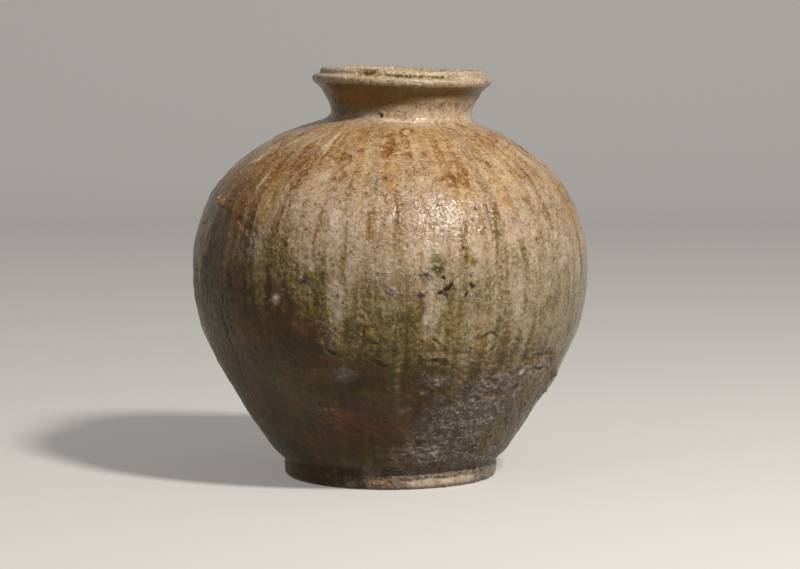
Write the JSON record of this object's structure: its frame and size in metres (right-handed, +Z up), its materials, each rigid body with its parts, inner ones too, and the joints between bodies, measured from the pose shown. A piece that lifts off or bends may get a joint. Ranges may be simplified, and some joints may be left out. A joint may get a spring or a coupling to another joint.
{
  "type": "storage jar",
  "caption": "Round-shouldered stoneware storage jar with a short flared neck, a double-lipped mouth and a flat foot; open and hollow, for dry goods or liquids.",
  "frame": {"origin": "on the ground, in the middle of the jar's footprint, under the belly's axis", "axes": "+Z up through the mouth, -Y towards the side that the picture shows, +X to that side's right"},
  "size_m": [0.3858, 0.3824, 0.4001],
  "materials": {
    "bare_clay": "unglazed, gritty fired clay",
    "foot_clay": "thin, pale ash over gritty clay",
    "scorched_clay": "rust and grey scorch under thin glass",
    "green_ash_glaze": "green-grey glassy runs",
    "cream_ash_glaze": "pitted cream ash glaze, satin",
    "tan_ash_glaze": "tan ash glaze with brown runs, glossy",
    "neck_ash_glaze": "olive and cream ash glaze",
    "rim_ash_glaze": "rough, sandy ash crust"
  },
  "bodies": {
    "root": {"floor_disc": "bare_clay", "foot_coil": "foot_clay", "lower_wall": "scorched_clay", "waist_wall": "green_ash_glaze", "belly_wall": "cream_ash_glaze", "shoulder_wall": "tan_ash_glaze", "neck_collar": "neck_ash_glaze", "rim_band": "rim_ash_glaze"}
  },
  "joints": []
}
